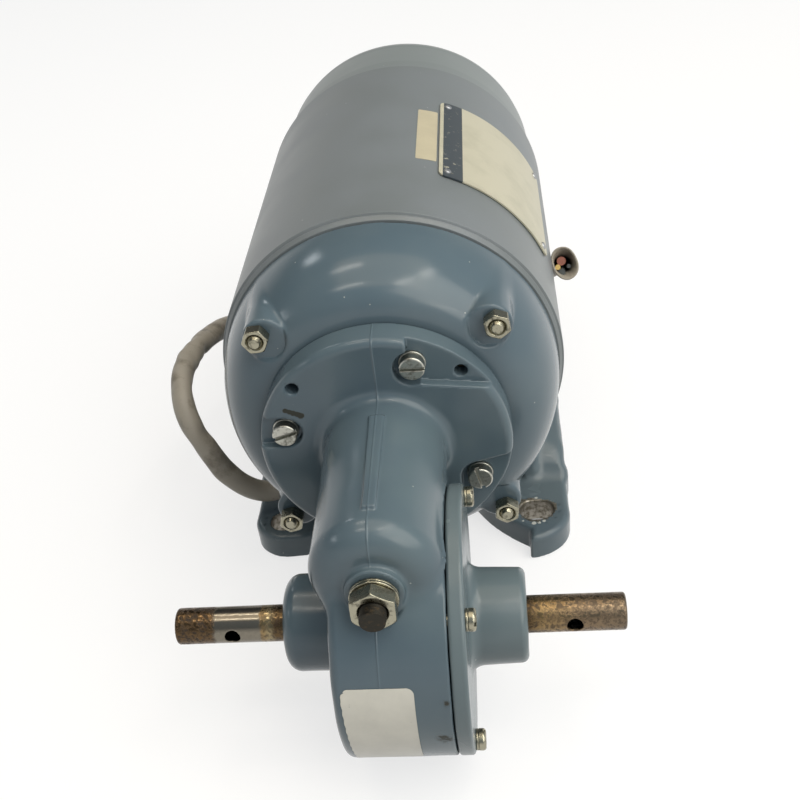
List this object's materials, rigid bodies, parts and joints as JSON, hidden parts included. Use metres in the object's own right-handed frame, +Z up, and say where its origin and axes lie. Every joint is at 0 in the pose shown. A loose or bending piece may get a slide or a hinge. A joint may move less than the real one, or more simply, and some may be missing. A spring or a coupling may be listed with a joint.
{
  "type": "gear motor",
  "caption": "Foot-mounted right-angle gear motor: round electric motor, worm gearbox with a through output shaft, sleeved lead.",
  "frame": {"origin": "centre of the bounding box's bottom face, on the surface the feet stand on, measured without the lead", "axes": "+X along the output shaft to the right, +Y along the motor axis to the rear, +Z up"},
  "size_m": [0.167, 0.3274, 0.1465],
  "materials": {
    "blue_grey_enamel": "gloss blue-grey enamel on aluminium castings",
    "satin_grey_enamel": "satin light blue-grey enamel on drawn steel tube",
    "ground_steel": "ground steel, tarnished brown with light rust specks",
    "zinc_plated_steel": "zinc-plated steel with a faint yellow passivation",
    "oxidised_steel": "dark oxidised steel",
    "bronze": "machined tin bronze",
    "lamination_steel": "stacked sheet-steel laminations",
    "enamelled_copper": "enamelled copper winding",
    "cast_aluminium": "die-cast aluminium cage",
    "black_rubber": "black nitrile rubber",
    "printed_aluminium": "thin printed aluminium plate, bare of lettering",
    "grey_pvc_sleeve": "warm grey PVC sleeve, slightly soiled"
  },
  "bodies": {
    "motor_frame": {"base_screw_1": "zinc_plated_steel", "base_screw_2": "zinc_plated_steel", "base_screw_3": "zinc_plated_steel", "base_screw_4": "zinc_plated_steel", "cover_screw_1": "zinc_plated_steel", "cover_screw_2": "zinc_plated_steel", "cover_screw_3": "zinc_plated_steel", "cover_screw_4": "zinc_plated_steel", "flange_screw_1": "zinc_plated_steel", "flange_screw_2": "zinc_plated_steel", "flange_screw_3": "zinc_plated_steel", "flange_screw_4": "zinc_plated_steel", "foot_bracket": "blue_grey_enamel", "front_bearing_outer_ring": "ground_steel", "front_shield": "blue_grey_enamel", "gearbox_cover": "blue_grey_enamel", "gearbox_housing": "blue_grey_enamel", "lead_grommet": "black_rubber", "left_bush": "bronze", "left_shaft_seal": "black_rubber", "locating_pin_1": "oxidised_steel", "locating_pin_2": "oxidised_steel", "lock_nut": "zinc_plated_steel", "lock_washer": "zinc_plated_steel", "motor_lead": "grey_pvc_sleeve", "motor_tube": "satin_grey_enamel", "rating_plate": "printed_aluminium", "rear_bearing_outer_ring": "ground_steel", "rear_cover": "blue_grey_enamel", "right_bush": "bronze", "right_shaft_seal": "black_rubber", "stator_core": "lamination_steel", "stator_winding": "enamelled_copper", "thrust_ball": "zinc_plated_steel", "thrust_stud": "oxidised_steel", "tie_nut_1": "zinc_plated_steel", "tie_nut_2": "zinc_plated_steel", "tie_nut_3": "zinc_plated_steel", "tie_nut_4": "zinc_plated_steel", "tie_rod_1": "zinc_plated_steel", "tie_rod_2": "zinc_plated_steel", "tie_rod_3": "zinc_plated_steel", "tie_rod_4": "zinc_plated_steel", "wave_washer": "zinc_plated_steel", "worm_bush": "bronze", "worm_seal": "black_rubber"},
    "rotor": {"rotor_core": "lamination_steel", "rotor_cage": "cast_aluminium", "worm_shaft": "ground_steel", "front_bearing_inner_ring": "ground_steel", "rear_bearing_inner_ring": "ground_steel"},
    "output": {"output_shaft": "ground_steel", "worm_wheel": "bronze", "wheel_pin": "zinc_plated_steel", "left_thrust_washer": "ground_steel", "right_thrust_washer": "ground_steel"},
    "front_ball_set": {"front_bearing_balls": "bronze"},
    "rear_ball_set": {"rear_bearing_balls": "bronze"}
  },
  "joints": [
    {"name": "rotor_spin", "type": "hinge", "parent": "motor_frame", "child": "rotor", "pos_m": [-0.00175, -0.0718, 0.084], "axis": [0, 1, 0], "continuous": true},
    {"name": "output_spin", "type": "hinge", "parent": "motor_frame", "child": "output", "pos_m": [-0.00175, -0.1207, 0.04525], "axis": [1, 0, 0], "continuous": true},
    {"name": "front_balls_orbit", "type": "hinge", "parent": "motor_frame", "child": "front_ball_set", "pos_m": [-0.00175, -0.0586, 0.084], "axis": [0, 1, 0], "continuous": true},
    {"name": "rear_balls_orbit", "type": "hinge", "parent": "motor_frame", "child": "rear_ball_set", "pos_m": [-0.00175, 0.1335, 0.084], "axis": [0, 1, 0], "continuous": true}
  ],
  "couplings": [
    {"joint": "output_spin", "follows": "rotor_spin", "ratio": 0.018182},
    {"joint": "front_balls_orbit", "follows": "rotor_spin", "ratio": 0.397},
    {"joint": "rear_balls_orbit", "follows": "rotor_spin", "ratio": 0.397}
  ]
}
